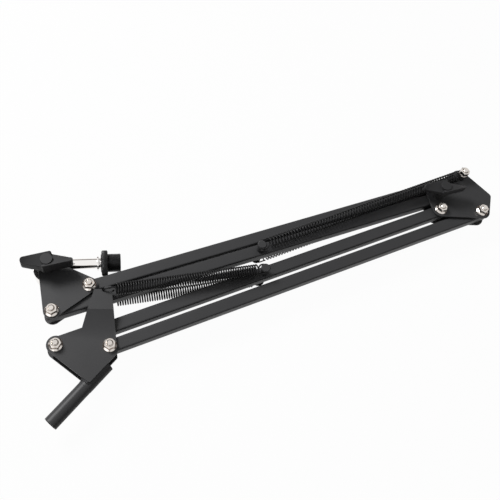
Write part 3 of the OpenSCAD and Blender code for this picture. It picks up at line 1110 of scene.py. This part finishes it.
@dataclass(frozen=True)
class Arm:
    """Two parallel square tubes, with the stud that carries the springs' far ends."""

    name: str
    spring: Spring
    edge_mm: float = 0.2

    def build(self) -> None:
        """Finishes the tubes and the stud and winds both springs."""
        for piece in ("main_tube", "follower_tube", "spring_stud"):
            broken_edges(f"{self.name}_{piece}", Slot.POWDER_COAT, self.edge_mm)
        for side in (1, -1):
            self.spring.build(side)


@dataclass(frozen=True)
class MicrophoneMount:
    """Chrome rod with its threaded adapter and locking ring.

    Places along the rod are distances from the clamp bolt.
    """

    places: Places
    rod_offset: float = 6.3
    rod_edge: float = 0.5
    rod_thread: Thread = Thread(4.62, 0.3, 1.2)
    rod_span: tuple[float, float] = (41.3, 43.5)
    adapter_thread: Thread = Thread(7.94, 0.45, 0.94)
    adapter_span: tuple[float, float] = (43.1, 59.7)
    rows_per_pitch: int = 8
    columns: int = 120
    ring_at: float = 43.6
    ring_w: float = 5.3
    ring_r: float = 10.9
    knurls: int = 60
    knurl_mm: float = 0.22
    per_knurl: int = 8

    def on_rod(self, form: Form) -> Form:
        """Moves a form that stands along +Z onto the rod, which the locking ring turns about.

        Args:
            form: points and faces, with Z as the distance from the clamp bolt.

        Returns:
            The moved points and the faces.
        """
        joint = next(j for j in frame["joints"] if j["name"] == "locking_ring_turn")
        along = np.array(joint["axis"], float)
        across = np.array([-along[1], along[0], 0.0])
        up = np.cross(along, across)
        points, faces = form
        foot = self.places.head_clamp + self.rod_offset * across
        return foot + points @ np.stack([across, up, along]), faces

    def threaded(self, thread: Thread, span: tuple[float, float]) -> Form:
        """A threaded stretch with both ends chamfered.

        Args:
            thread: its thread.
            span: where it starts and where it ends.

        Returns:
            Points and faces along +Z.
        """
        low, high = span
        rows = np.linspace(low, high, int((high - low) / thread.pitch * self.rows_per_pitch) + 1)
        chamfer = thread.crest - thread.depth + np.minimum(rows - low, high - rows)[:, None]
        return lathe(np.minimum(thread.radii(rows, self.columns), chamfer), rows)

    def build(self) -> None:
        """Makes the rod, the adapter and the ring."""
        broken_edges("mic_rod", Slot.CHROME, self.rod_edge)
        rod = self.threaded(self.rod_thread, self.rod_span)
        adapter = self.threaded(self.adapter_thread, self.adapter_span)
        black = Slot.BLACK_PLASTIC
        for name, form, slot, nodes, finish, body in (
            ("mic_rod_thread", rod, Slot.CHROME, (), None, "mic_mount"),
            ("thread_adapter_cut", adapter, black, ("thread_adapter",), THREAD_BLACK, "mic_mount"),
            ("locking_ring_knurled", self.ring(), black, ("locking_ring",), THREAD_BLACK, "ring"),
        ):
            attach(new_piece(name, self.on_rod(form), slot, nodes, finish), body)

    def ring(self) -> Form:
        """The knurled ring: its rim rises and falls with the cosine of the knurls' angle.

        Returns:
            Points and faces along +Z.
        """
        columns = self.knurls * self.per_knurl
        angle = np.arange(columns) / columns * TURN
        cut = self.knurl_mm * (1 - np.cos(self.knurls * angle))
        foot, width = self.ring_r - 1.2, self.ring_w
        bore = self.adapter_thread.crest
        half = [(bore, 0.0), (foot, 0.0), (self.ring_r - 0.4, 0.35), (self.ring_r, 0.8)]
        table = np.array(half + [(r, width - z) for r, z in reversed(half)])
        depth = np.clip((table[:, 0] - foot) / (self.ring_r - foot), 0, 1)
        radii = table[:, :1] - depth[:, None] * cut[None, :]
        return lathe(radii, table[:, 1] + self.ring_at)


@dataclass(frozen=True)
class Studio:
    """Floor, lights and camera of the product photograph.

    A lamp has a name, a place in metres, the side of its square and its power in watts.
    """

    places: Places
    camera_from_pivot: tuple[float, float, float] = (-9.65, -161.23, 481.97)
    elevation: float = 60.23
    heading: float = 36.01
    roll: float = 14.65
    focal_px: float = 616.8
    centre_px: tuple[float, float] = (202.0, 226.7)
    image_px: float = 500.0
    sensor_mm: float = 36.0
    surround: float = 0.22
    room: tuple = ((0.0, "9C7A66"), (0.12, "3A322E"), (0.3, "4A4643"), (0.5, "FFFFFF"))
    floor_half: float = 3.0
    floor_grey: float = 0.45
    floor_rough: float = 0.9
    floor_glow: float = 0.97
    lamps: tuple = (
        ("key_above", (-0.25, 0.8, 0.8), 0.45, 18.0),
        ("fill_left", (-0.7, -0.3, 0.5), 0.8, 2.0),
    )
    aim: tuple[float, float, float] = (0.22, 0.07, 0.0)

    def camera(self) -> None:
        """Sets the camera up as the photograph was taken."""
        data = bpy.data.cameras.new("camera")
        data.sensor_width = self.sensor_mm
        data.sensor_fit = "HORIZONTAL"
        data.lens = self.focal_px * self.sensor_mm / self.image_px
        data.shift_x = 0.5 - self.centre_px[0] / self.image_px
        data.shift_y = self.centre_px[1] / self.image_px - 0.5
        data.clip_start, data.clip_end = 0.01, 20.0
        el, az, roll = (math.radians(v) for v in (self.elevation, self.heading, self.roll))
        forward = Vector((math.cos(el) * math.sin(az), math.cos(el) * math.cos(az), -math.sin(el)))
        level = Vector((math.cos(az), -math.sin(az), 0.0))
        upright = level.cross(forward)
        right = math.cos(roll) * level + math.sin(roll) * upright
        up = right.cross(forward)
        camera = in_scene("camera", data)
        place = Vector((self.places.base_a + np.array(self.camera_from_pivot)) * MM)
        turned = Matrix((right, up, -forward)).transposed().to_4x4()
        camera.matrix_world = Matrix.Translation(place) @ turned
        bpy.context.scene.camera = camera

    def light(self, name: str, place: tuple[float, float, float], size: float, watts: float) -> None:
        """A square soft light that faces the middle of the arm.

        Args:
            name: the light's name.
            place: its place in metres.
            size: its side in metres.
            watts: its power.
        """
        data = bpy.data.lights.new(name, "AREA")
        data.shape, data.size, data.energy = "SQUARE", size, watts
        lamp = in_scene(name, data)
        lamp.location = place
        way = Vector(self.aim) - Vector(place)
        lamp.rotation_euler = way.to_track_quat("-Z", "Y").to_euler()

    def world(self) -> None:
        """A white surround, with the darker room of a studio low round the horizon.

        The camera and what shows through see plain white. Reflections see the room up to the
        room's height and white above it, and diffuse light is weaker than both.
        """
        world = bpy.data.worlds.new("white_surround")
        world.use_nodes = True
        bpy.context.scene.world = world
        nodes, links = world.node_tree.nodes, world.node_tree.links
        background = nodes["Background"]
        place, axes = nodes.new("ShaderNodeTexCoord"), nodes.new("ShaderNodeSeparateXYZ")
        room = nodes.new("ShaderNodeValToRGB")
        for _ in range(2):
            room.color_ramp.elements.new(0.5)
        for element, (height, colour) in zip(room.color_ramp.elements, self.room):
            element.position, element.color = height, shade(colour)
        rays = nodes.new("ShaderNodeLightPath").outputs
        plain = math_node(world.node_tree, "MAXIMUM", rays["Is Camera Ray"], rays["Is Transmission Ray"])
        bright = math_node(world.node_tree, "MAXIMUM", plain, rays["Is Glossy Ray"])
        cover, strength = nodes.new("ShaderNodeMix"), nodes.new("ShaderNodeMapRange")
        cover.data_type = "RGBA"
        cover.inputs["B"].default_value = (1.0, 1.0, 1.0, 1.0)
        strength.inputs["To Min"].default_value = self.surround
        strength.inputs["To Max"].default_value = 1.0
        links.new(place.outputs["Generated"], axes.inputs[0])
        links.new(axes.outputs["Z"], room.inputs["Fac"])
        links.new(plain, cover.inputs["Factor"])
        links.new(room.outputs["Color"], cover.inputs["A"])
        links.new(cover.outputs["Result"], background.inputs["Color"])
        links.new(bright, strength.inputs["Value"])
        links.new(strength.outputs["Result"], background.inputs["Strength"])

    def floor(self) -> None:
        """A white floor that the arm lies on, which keeps a faint shadow."""
        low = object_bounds()[0].z
        mesh = bpy.data.meshes.new("floor")
        half = self.floor_half
        corners = [(-half, -half, low), (half, -half, low), (half, half, low), (-half, half, low)]
        mesh.from_pydata(corners, [], [(0, 1, 2, 3)])
        floor = in_scene("floor", mesh)
        floor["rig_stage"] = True
        material = bpy.data.materials.new("white_floor")
        material.use_nodes = True
        nodes, links = material.node_tree.nodes, material.node_tree.links
        plain = nodes["Principled BSDF"]
        plain.inputs["Base Color"].default_value = (*[self.floor_grey] * 3, 1.0)
        plain.inputs["Roughness"].default_value = self.floor_rough
        glow, mix = nodes.new("ShaderNodeEmission"), nodes.new("ShaderNodeMixShader")
        rays, tree = nodes.new("ShaderNodeLightPath").outputs, material.node_tree
        seen = math_node(tree, "MAXIMUM", rays["Is Camera Ray"], rays["Is Glossy Ray"])
        through = math_node(tree, "MAXIMUM", seen, rays["Is Transmission Ray"])
        links.new(math_node(tree, "MULTIPLY", through, self.floor_glow), mix.inputs[0])
        links.new(plain.outputs["BSDF"], mix.inputs[1])
        links.new(glow.outputs["Emission"], mix.inputs[2])
        links.new(mix.outputs["Shader"], nodes["Material Output"].inputs["Surface"])
        mesh.materials.append(material)

    def build(self) -> None:
        """Sets up the whole studio."""
        bpy.context.scene.view_settings.view_transform = "Standard"
        self.camera()
        self.world()
        self.floor()
        for lamp in self.lamps:
            self.light(*lamp)


def springs(places: Places) -> tuple[Spring, Spring]:
    """The springs of both arms, between the pegs that hold their hooks.

    The tongue on a base plate's tab stands at fixed distances along and across the line of
    the base pivots.

    Args:
        places: the pivots.

    Returns:
        The lower and the upper arm's spring.
    """
    along = (places.base_b - places.base_a) / np.linalg.norm(places.base_b - places.base_a)
    across = np.array([-along[1], along[0], 0.0])
    lower = Spring(
        "lower_spring",
        start=places.base_a + TONGUE_ALONG * along + TONGUE_ABOVE * across,
        end=node_middle("lower_spring_stud"),
        level=12.5,
        peg_start=0.0,
        peg_end=2.0,
        plane_start=90.0,
        plane_end=180.0,
        coils=57,
        bodies=("base", "lower_main"),
        bend_share=0.62,
        wire_d=1.4,
    )
    upper = Spring(
        "upper_spring",
        start=places.anchor,
        end=node_middle("upper_spring_stud"),
        level=13.0,
        peg_start=2.5,
        peg_end=2.0,
        plane_start=0.0,
        plane_end=180.0,
        coils=70,
        bodies=("elbow", "upper_main"),
        bend_share=0.35,
    )
    return lower, upper


def main() -> None:
    """Builds every sub-assembly in order."""
    logging.basicConfig(level=logging.INFO, format="%(message)s")
    places = Places()
    Studio(places).build()
    seat = node_top("base_plate_front") - TAB_STEP
    for bracket in (
        Bracket("base", (places.base_a, places.base_b), (8.0, 35.0), seat, ("post_tube",)),
        Bracket("elbow", (places.elbow_a, places.elbow_b), (20.0, 50.0), seat),
        Bracket("head", (places.head_a, places.head_b), (42.0, 5.0), seat),
    ):
        bracket.build()
    for side, name in ((1, "weld_front"), (-1, "weld_back")):
        Weld(name, side).build()
    anchor = "spring_anchor_nut", "spring_anchor_bolt"
    PivotSet(*anchor, "elbow", (places.anchor,), (12.0,), ANCHOR_SEAT, ANCHOR_NUT).build()
    dress_node("spring_anchor_sleeves", Slot.BLACK_PLASTIC)
    for joint in ("elbow", "head"):
        broken_edges(f"{joint}_clamp_bolt", Slot.ZINC_STEEL, 0.3)
        dress_node(f"{joint}_knob_insert", Slot.BRASS)
    for name, spring in zip(("lower", "upper"), springs(places)):
        Arm(name, spring).build()
    up = np.array([0.0, 0.0, seat])
    WingKnob(turn=-5.4).build("elbow_knob", places.elbow_clamp + up, "elbow_clamp")
    WingKnob(turn=-5.8, wing_z=6.2).build("head_knob", places.head_clamp + up, "head_clamp")
    MicrophoneMount(places).build()


if __name__ == "__main__":
    main()
